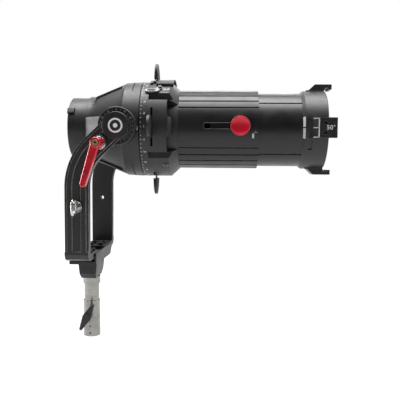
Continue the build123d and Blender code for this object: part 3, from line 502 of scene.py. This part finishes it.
def grown(name, tree, sizes, finish, body, start=None):
    """Runs a shape tree and keeps its result as one plain mesh that rides a body."""
    maker = bpy.data.objects.new(name + "_maker", start or bpy.data.meshes.new(name + "_start"))
    bpy.context.scene.collection.objects.link(maker)
    shape = maker.modifiers.new("shape", "NODES")
    shape.node_group = tree
    for item in tree.interface.items_tree:
        if item.item_type == "SOCKET" and item.in_out == "INPUT" and item.name in sizes:
            shape[item.identifier] = sizes[item.name]
        if item.item_type == "SOCKET" and item.name == "Finish":
            shape[item.identifier] = finish
    made = maker.evaluated_get(bpy.context.evaluated_depsgraph_get())
    mesh = bpy.data.meshes.new_from_object(made)
    bpy.data.objects.remove(maker)
    return kept(name, mesh, finish, body)


def kept(name, mesh, finish, body):
    mesh.name = name
    if not mesh.materials:
        mesh.materials.append(finish)
    piece = bpy.data.objects.new(name, mesh)
    bpy.context.scene.collection.objects.link(piece)
    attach(piece, body)
    return piece


# ---------------------------------------------------------------- mesh helpers

def near_place(x, radius, degrees):
    """Point on a circle round the optical axis, 0 on the near side, upwards positive."""
    angle = math.radians(degrees)
    return Vector((x, -radius * math.cos(angle), AXIS_Z + radius * math.sin(angle)))


def lathe(outline, origin, axis, steps=72):
    """Closed solid of revolution from (distance along the axis, radius) points."""
    axis = Vector(axis).normalized()
    side = axis.orthogonal().normalized()
    other = axis.cross(side)
    shell = bmesh.new()
    rings = []
    for along, radius in outline:
        base = Vector(origin) + axis * along
        if radius == 0.0:
            rings.append([shell.verts.new(base)])
            continue
        turns = [2 * math.pi * i / steps for i in range(steps)]
        rings.append([shell.verts.new(base + radius * (math.cos(t) * side + math.sin(t) * other))
                      for t in turns])
    loops = list(zip(rings, rings[1:]))
    if outline[0][1] > 0.0:
        loops.append((rings[-1], rings[0]))
    for low, high in loops:
        for i in range(steps):
            corners = [low[i % len(low)], low[(i + 1) % len(low)],
                       high[(i + 1) % len(high)], high[i % len(high)]]
            unique = list(dict.fromkeys(corners))
            if len(unique) > 2:
                shell.faces.new(unique)
    bmesh.ops.recalc_face_normals(shell, faces=shell.faces)
    return as_mesh(shell)


def as_mesh(shell, crease=30.0):
    for face in shell.faces:
        face.smooth = True
    for edge in shell.edges:
        if edge.is_manifold and edge.calc_face_angle() > math.radians(crease):
            edge.smooth = False
    mesh = bpy.data.meshes.new("shape")
    shell.to_mesh(mesh)
    shell.free()
    return mesh


def laid_plates(plates, lift=0.0, thick=0.0002, arc=0.004):
    """Thin printed plates as (x0, x1, v0, v1) rectangles, cut finely so that they can be bent."""
    shell = bmesh.new()
    for x0, x1, v0, v1 in plates:
        rows = max(1, math.ceil(abs(v1 - v0) / arc))
        levels = [v0 + (v1 - v0) * i / rows for i in range(rows + 1)]
        grid = [[shell.verts.new((x, v, w)) for v in levels] for x in (x0, x1) for w in (lift, lift + thick)]
        low_left, high_left, low_right, high_right = grid
        for i in range(rows):
            for a, b in ((high_left, high_right), (high_right, low_right),
                         (low_right, low_left), (low_left, high_left)):
                shell.faces.new((a[i], b[i], b[i + 1], a[i + 1]))
        shell.faces.new((low_left[0], low_right[0], high_right[0], high_left[0]))
        shell.faces.new((low_left[-1], high_left[-1], high_right[-1], low_right[-1]))
    bmesh.ops.recalc_face_normals(shell, faces=shell.faces)
    return as_mesh(shell)


def numeral(text, size, thick=0.0002):
    """Figures as a thin solid in the XY plane, centred."""
    curve = bpy.data.curves.new("figures", "FONT")
    curve.body = text
    curve.size = size
    curve.align_x, curve.align_y = "CENTER", "CENTER"
    curve.extrude = thick / 2
    curve.resolution_u = 3
    holder = bpy.data.objects.new("figures", curve)
    bpy.context.scene.collection.objects.link(holder)
    mesh = bpy.data.meshes.new_from_object(holder.evaluated_get(bpy.context.evaluated_depsgraph_get()))
    bpy.data.objects.remove(holder)
    shell = bmesh.new()
    shell.from_mesh(mesh)
    bmesh.ops.remove_doubles(shell, verts=shell.verts, dist=0.000001)
    for vert in shell.verts:
        vert.co.z += thick / 2
    return as_mesh(shell)


def joined(meshes):
    shell = bmesh.new()
    for mesh in meshes:
        shell.from_mesh(mesh)
    return as_mesh(shell)


def bent(mesh, radius, x=0.0, degrees=0.0):
    """Wraps a flat print round the optical axis: its X stays X, its Y runs up the circle."""
    for vert in mesh.vertices:
        u, v, w = vert.co
        vert.co = near_place(x + u, radius + w, degrees + math.degrees(v / radius))
    return mesh


def faced(mesh, x, y, z):
    """Stands a flat print on a face that looks to the near side."""
    for vert in mesh.vertices:
        u, v, w = vert.co
        vert.co = Vector((x + u, y - w, z + v))
    return mesh


# ---------------------------------------------------------------- tubes

# Outside radius of the outer tube, the slot's middle and rise, and the knob stem's place, in mm
TUBE_R = 65.5
SLOT_X = 234.7
SLOT_RISE = 2.5
STEM_X = 255.8


def slot_lip():
    """Lip round the focus slot, its bright edges a painted highlight from the ring finish."""
    reach, turns = 32.8 * MM, 24
    shell = bmesh.new()
    rings = []
    for half, lift in ((4.5, -0.6), (4.5, 0.1), (5.0, 0.16), (5.3, 0.0), (5.3, -0.6)):
        ring = []
        for way in (1, -1):
            for i in range(turns + 1):
                angle = -math.pi / 2 + math.pi * i / turns
                along = way * (reach + half * MM * math.cos(angle))
                ring.append((along, way * half * MM * math.sin(angle), lift * MM))
        rings.append([shell.verts.new(point) for point in ring])
    for low, high in zip(rings, rings[1:] + rings[:1]):
        for i in range(len(low)):
            shell.faces.new((low[i], low[(i + 1) % len(low)], high[(i + 1) % len(low)], high[i]))
    bmesh.ops.recalc_face_normals(shell, faces=shell.faces)
    lip = bent(as_mesh(shell), TUBE_R * MM, SLOT_X * MM, math.degrees(SLOT_RISE / TUBE_R))
    kept("focus_slot_lip", lip, RING_BLACK, "front_section")


def fluted_tubes():
    tube_low, tube_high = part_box("outer_tube")
    radius = (tube_high[1] - tube_low[1]) / 2
    sizes = {"Radius": radius, "Bore": 61.5 * MM, "Rear": 156.1 * MM, "Front": tube_high[0],
             "Axis Height": AXIS_Z,
             "Grooves": 11, "First": math.radians(29.3), "Step": math.radians(12.14),
             "Groove Width": 2.6 * MM,
             "Groove Depth": 1.6 * MM, "Slot Length": 65.6 * MM, "Slot Width": 9.0 * MM,
             "Slot Place": (SLOT_X * MM, -62.0 * MM, AXIS_Z + SLOT_RISE * MM)}
    outer = grown("outer_tube_fluted", TUBE_TREE, sizes, TUBE_BLACK, "front_section")
    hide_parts("outer_tube")
    low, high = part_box("lens_tube")
    sizes = {"Radius": 61.42 * MM, "Bore": 58.0 * MM, "Rear": low[0], "Front": high[0], "Axis Height": AXIS_Z,
             "Grooves": 2, "First": math.radians(-41.0), "Step": math.radians(84.0), "Groove Width": 2.4 * MM,
             "Groove Depth": 1.8 * MM, "Slot Length": 1.0 * MM, "Slot Width": 6.2 * MM,
             "Slot Place": (STEM_X * MM, -62.0 * MM, AXIS_Z + SLOT_RISE * MM)}
    inner = grown("lens_tube_grooved", TUBE_TREE, sizes, TUBE_BLACK, "lens_section")
    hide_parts("lens_tube")
    slot_lip()
    spigot = lathe([(0, 61.5 * MM), (0, 64.0 * MM), (7.9 * MM, 64.0 * MM), (7.9 * MM, 61.5 * MM)],
                   (148.2 * MM, 0, AXIS_Z), (1, 0, 0), 144)
    kept("outer_tube_spigot", spigot, TUBE_BLACK, "front_section")


fluted_tubes()


# ---------------------------------------------------------------- scales and prints

def ring_sizes(count, first, step, radius, along, size, round_marks=False):
    return {"Count": count, "First": math.radians(first), "Step": math.radians(step), "Radius": radius,
            "Along": along, "Size": size, "Round": round_marks}


def degree_scale():
    """Dots every 5 degrees and figures every 15 on the rotating ring."""
    radius = (ring_high[1] - ring_low[1]) / 2
    about_x = {"Centre": (0.0, 0.0, AXIS_Z), "Turn": (0.0, math.pi / 2, 0.0)}
    dots = ring_sizes(72, 0, 5, radius, 97.8 * MM, (0.0004, 0.0013, 0.0013), True)
    grown("scale_dots", MARKS_TREE, {**dots, **about_x}, WHITE_INK, "front_section")
    figures = []
    for step in range(24):
        value = min(step, 24 - step) * 15
        figures.append(bent(numeral(str(value), 4.0 * MM), radius, 103.2 * MM, -step * 15))
    kept("scale_figures", joined(figures), WHITE_INK, "front_section")


def pointer():
    """Small index triangle on the fixed housing beside the scale."""
    outline = [(-3.6, -0.7), (-3.6, 0.7), (2.6, 3.0), (2.6, -3.0)]
    shell = bmesh.new()
    layers = [[shell.verts.new((u * MM, v * MM, w)) for u, v in outline] for w in (0.0, 0.00025)]
    shell.faces.new(layers[1])
    shell.faces.new(layers[0])
    for i in range(4):
        shell.faces.new((layers[0][i], layers[0][(i + 1) % 4], layers[1][(i + 1) % 4], layers[1][i]))
    bmesh.ops.recalc_face_normals(shell, faces=shell.faces)
    mark = bent(as_mesh(shell), 79.48 * MM, 90.6 * MM, -2.0)
    kept("index_mark", mark, POINTER_INK, "housing")


def tilt_scale():
    """Ticks sunk in both tilt discs, figures on the near disc."""
    face = 93.6 * MM
    for side, name in ((-1, "near"), (1, "far")):
        about_y = {"Centre": (TILT_X, side * face, AXIS_Z), "Turn": (side * -math.pi / 2, 0.0, 0.0)}
        ticks = ring_sizes(24, 0, 15, 25.6 * MM, 0.1 * MM, (0.0024, 0.0005, 0.0004))
        grown("tilt_ticks_" + name, MARKS_TREE, {**ticks, **about_y}, PALE_INK, "housing")
    figures = []
    for degrees in (-60, -30, 0, 30, 60):
        figure = numeral(str(abs(degrees)), 4.2 * MM)
        turn = Matrix.Rotation(math.radians(-degrees), 3, "Z")
        for vert in figure.vertices:
            lifted = vert.co + Vector((0.0, 25.4 * MM, 0.0))
            vert.co = turn @ lifted
        figures.append(faced(figure, TILT_X, -face - 0.05 * MM, AXIS_Z))
    kept("tilt_figures", joined(figures), PALE_INK, "housing")


def cap_marks():
    """Plain ring and dot on both pivot caps."""
    for side, name in ((-1, "near"), (1, "far")):
        top = (TILT_X, side * 103.66 * MM, AXIS_Z)
        band = lathe([(0, 8.6 * MM), (0, 11.4 * MM), (0.1 * MM, 11.4 * MM), (0.1 * MM, 8.6 * MM)],
                     top, (0, side, 0), 96)
        dot = lathe([(0, 0.0), (0, 3.6 * MM), (0.1 * MM, 3.6 * MM), (0.1 * MM, 0.0)], top, (0, side, 0), 48)
        kept("cap_mark_" + name, joined([band, dot]), WHITE_INK, "yoke")


def front_prints():
    """Bracket, two pale silver pads on the rear chamfer and beam angle at the front ring, index marks on the
    tube.
    """
    bracket = [(372.0, 380.4, -15.4, -14.0), (372.0, 380.4, -0.7, 0.7), (372.0, 380.4, 14.0, 15.4),
               (378.8, 380.4, -15.4, 15.4)]
    plates = [tuple(v * MM for v in plate) for plate in bracket]
    on_ramp = faced(laid_plates(plates), 0.0, -66.42 * MM, AXIS_Z)
    ramp_start, ramp_rise, ramp_length = 371.6 * MM, 8.7, 9.0
    for vert in on_ramp.vertices:
        vert.co.y -= (vert.co.x - ramp_start) * ramp_rise / ramp_length
    kept("bracket_print", on_ramp, SILVER_INK, "lens_section")
    # Two pale silver pads on the front ring's rear chamfer.
    band = laid_plates([(0.0, 3.6 * MM, 1.0 * MM, 17.2 * MM), (0.0, 3.6 * MM, -17.2 * MM, -1.0 * MM)])
    for vert in band.vertices:
        u, v, w = vert.co
        radius = 61.9 * MM + u * 0.8 + w
        vert.co = near_place(356.4 * MM + u, radius, math.degrees((v + 0.5 * MM) / (63.0 * MM)))
    kept("pale_chamfer_pads", band, SILVER_INK, "lens_section")
    angle = faced(numeral("50\u00b0", 10.0 * MM), 398.0 * MM, -75.12 * MM, AXIS_Z)
    kept("beam_angle", angle, WHITE_INK, "lens_section")
    marks = [(275.2, 278.4, -17.0, -9.6)]
    plates = [tuple(v * MM for v in plate) for plate in marks]
    kept("tube_index", bent(laid_plates(plates), TUBE_R * MM), SILVER_INK, "front_section")
    marks = [(279.6, 281.6, -6.2, -5.4), (277.6, 283.6, -8.4, -7.6)]
    plates = [tuple(v * MM for v in plate) for plate in marks]
    kept("tube_ticks", bent(laid_plates(plates), TUBE_R * MM), PALE_INK, "front_section")


POINTER_INK = print_ink("pointer_ink", (0.55, 0.70, 0.80))
degree_scale()
pointer()
tilt_scale()
cap_marks()
front_prints()


# ---------------------------------------------------------------- knob, lever and screws

def focus_knob():
    """Dished knob with a fine rib round its edge."""
    low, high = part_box("focus_knob")
    centre = ((low[0] + high[0]) / 2, low[1], (low[2] + high[2]) / 2)
    deep = high[1] - low[1]
    outline = [(3.2, 0.0), (3.1, 3.0), (2.8, 6.0), (2.2, 9.0), (1.4, 11.5), (0.5, 13.4), (0.1, 13.9),
               (0.0, 14.3),
               (0.15, 15.2), (0.6, 15.35), (deep / MM - 1.2, 15.35), (deep / MM - 0.3, 15.0),
               (deep / MM, 14.0),
               (deep / MM, 0.0)]
    dish = lathe([(along * MM, radius * MM) for along, radius in outline], centre, (0, 1, 0), 96)
    knob = kept("focus_knob_dish", dish, KNOB_RED, "knob")
    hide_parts("focus_knob")
    ribs = ring_sizes(90, 0, 4, 15.3 * MM, 0.0, (0.0009, 0.00055, deep - 2.4 * MM))
    ribs.update({"Centre": (centre[0], centre[1] + deep / 2, centre[2]), "Turn": (math.pi / 2, 0.0, 0.0)})
    grown("focus_knob_ribs", MARKS_TREE, ribs, RED_ANODISED, "knob")


def lever_base():
    """Black knurled seat and two bright washers under the tilt lever."""
    low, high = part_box("lever_washers")
    x, z = (low[0] + high[0]) / 2, (low[2] + high[2]) / 2
    seat_y = high[1]
    seat = lathe([(0, 3.2 * MM), (0, 12.0 * MM), (2.2 * MM, 12.0 * MM), (2.9 * MM, 11.3 * MM),
                  (2.9 * MM, 3.2 * MM)],
                 (x, seat_y, z), (0, -1, 0), 72)
    piece = kept("lever_seat", seat, BLACK_OXIDE, "yoke")
    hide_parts("lever_washers")
    ribs = ring_sizes(48, 0, 7.5, 12.05 * MM, 0.0, (0.0009, 0.0008, 0.0018))
    ribs.update({"Centre": (x, seat_y - 1.15 * MM, z), "Turn": (math.pi / 2, 0.0, 0.0)})
    grown("lever_seat_ribs", MARKS_TREE, ribs, BLACK_OXIDE, "yoke")
    washers = [lathe([(0, 3.2 * MM), (0, radius * MM), (1.0 * MM, radius * MM),
                      (1.2 * MM, (radius - 0.3) * MM),
                      (1.2 * MM, 3.2 * MM)], (x, seat_y - start * MM, z), (0, -1, 0), 64)
               for start, radius in ((2.95, 10.4), (4.25, 9.4))]
    kept("lever_bright_washers", joined(washers), CHROME, "yoke")
    low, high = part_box("lever_screw")
    x, z = (low[0] + high[0]) / 2, (low[2] + high[2]) / 2
    # A thin matt black hexagon inside the screw's socket is painted shade.
    socket_shade = lathe([(0, 0.0), (0, 2.2 * MM), (0.3 * MM, 2.2 * MM), (0.3 * MM, 0.0)],
                 (x, low[1] + 1.45 * MM, z), (0, -1, 0), 6)
    kept("lever_screw_socket_shade", socket_shade, BLACK_AND_SOCKET_SHADE, "lever")


def screw_set(name, node, body, seats, head_radius, head_height, socket_radius, finish=BLACK_OXIDE):
    """Cap screws that stand for one CAD node of fasteners."""
    start = bpy.data.meshes.new(name + "_seats")
    start.from_pydata([seat for seat, facing in seats], [], [])
    facing = start.attributes.new("facing", "FLOAT_VECTOR", "POINT")
    facing.data.foreach_set("vector", [part for seat, way in seats for part in way])
    sizes = {"Head Radius": head_radius, "Head Height": head_height, "Socket Radius": socket_radius}
    screws = grown(name, SCREWS_TREE, sizes, finish, body, start)
    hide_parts(node)


def all_screws():
    low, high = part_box("foot_screws")
    top = high[2] - 4.0 * MM
    feet = [(Vector((x * MM, side * y * MM, top)), (0, 0, 1))
            for side in (-1, 1) for y in (32, 52) for x in (-9, 9)]
    screw_set("foot_cap_screws", "foot_screws", "yoke", feet, 5.0 * MM, 4.0 * MM, 2.6 * MM)
    seats = []
    for degrees in (49.5, 130.5, 229.5, 310.5):
        way = near_place(0, 1.0, degrees) - near_place(0, 0.0, degrees)
        seats += [(near_place(x * MM, 79.45 * MM, degrees), tuple(way)) for x in (132.7, 139.2)]
    screw_set("housing_cap_screws", "housing_screws", "front_section", seats, 2.8 * MM, 1.4 * MM, 1.5 * MM,
              DULL_ZINC)
    seats = []
    for degrees in (0, 90, 180, 270):
        way = near_place(0, 1.0, degrees) - near_place(0, 0.0, degrees)
        across = near_place(0, 1.0, degrees + 90) - near_place(0, 0.0, degrees + 90)
        for offset in (-7.6, 7.6):
            seats.append((near_place(389.7 * MM, 69.55 * MM, degrees) + across * offset * MM, tuple(way)))
    screw_set("clip_cap_screws", "clip_screws", "lens_section", seats, 2.75 * MM, 2.4 * MM, 1.4 * MM)


def safety_collar():
    """Knurl round the safety screw's collar."""
    low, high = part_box("safety_screw")
    x, z = (low[0] + high[0]) / 2, (low[2] + high[2]) / 2
    ribs = ring_sizes(40, 0, 9, 8.7 * MM, 0.0, (0.0009, 0.0007, 0.0018))
    ribs.update({"Centre": (x, -106.0 * MM, z), "Turn": (math.pi / 2, 0.0, 0.0)})
    grown("safety_collar_ribs", MARKS_TREE, ribs, CHROME, "yoke")


focus_knob()
lever_base()
all_screws()
safety_collar()


# ---------------------------------------------------------------- camera, light and floor

def make_camera():
    yaw, pitch, roll = -0.042, -0.0685, 0.0076
    forward = Vector((math.sin(yaw) * math.cos(pitch), math.cos(yaw) * math.cos(pitch), math.sin(pitch)))
    level = Vector((math.cos(yaw), -math.sin(yaw), 0.0))
    upright = level.cross(forward)
    right = math.cos(roll) * level + math.sin(roll) * upright
    up = -math.sin(roll) * level + math.cos(roll) * upright
    lens = bpy.data.cameras.new("camera")
    lens.sensor_width = 36.0
    lens.lens = 49.72
    camera = bpy.data.objects.new("camera", lens)
    turn = Matrix((right, up, -forward)).transposed().to_4x4()
    camera.matrix_world = Matrix.Translation((0.23002, -0.95422, 0.30595)) @ turn
    bpy.context.scene.collection.objects.link(camera)
    bpy.context.scene.camera = camera


def make_light(name, place, aim, size, power):
    lamp = bpy.data.lights.new(name, "AREA")
    lamp.shape = "RECTANGLE"
    lamp.size, lamp.size_y = size
    lamp.energy = power
    thing = bpy.data.objects.new(name, lamp)
    thing.location = place
    thing.rotation_mode = "QUATERNION"
    thing.rotation_quaternion = (Vector(aim) - Vector(place)).to_track_quat("-Z", "Y")
    bpy.context.scene.collection.objects.link(thing)


def make_floor():
    shell = bmesh.new()
    bmesh.ops.create_circle(shell, cap_ends=True, segments=96, radius=2.4)
    mesh = bpy.data.meshes.new("floor")
    shell.to_mesh(mesh)
    shell.free()
    floor = bpy.data.objects.new("floor", mesh)
    bpy.context.scene.collection.objects.link(floor)
    material, wire, shader = bare_material("pale_floor")
    shader.inputs["Base Color"].default_value = (0.18, 0.18, 0.18, 1.0)
    shader.inputs["Roughness"].default_value = 0.9
    shader.inputs["Emission Color"].default_value = (1.0, 1.0, 1.0, 1.0)
    shader.inputs["Emission Strength"].default_value = 0.92
    mesh.materials.append(material)


def make_world():
    world = bpy.data.worlds.new("studio")
    bpy.context.scene.world = world
    world.use_nodes = True
    world.node_tree.nodes["Background"].inputs["Color"].default_value = (1.0, 1.0, 1.0, 1.0)
    wire = Wiring(world.node_tree)
    seen = wire.add("ShaderNodeLightPath").outputs["Is Camera Ray"]
    wire.feed(world.node_tree.nodes["Background"].inputs["Strength"], wire.span(seen, 0.0, 1.0, 0.08, 1.0))


def light_scene():
    centre = (0.2, 0.0, 0.34)
    make_light("top_softbox", (0.2, 0.0, 1.6), centre, (1.8, 0.95), 56.0)
    make_light("left_softbox", (-1.8, 0.15, 0.45), centre, (0.7, 0.9), 26.0)
    make_light("right_softbox", (1.9, 0.2, 0.8), centre, (0.5, 0.8), 9.0)
    make_light("back_softbox", (0.3, 2.0, 1.4), (0.2, 0.9, 0.0), (2.4, 1.2), 30.0)
    bpy.context.scene.view_settings.view_transform = "Standard"


make_camera()
make_floor()
make_world()
light_scene()
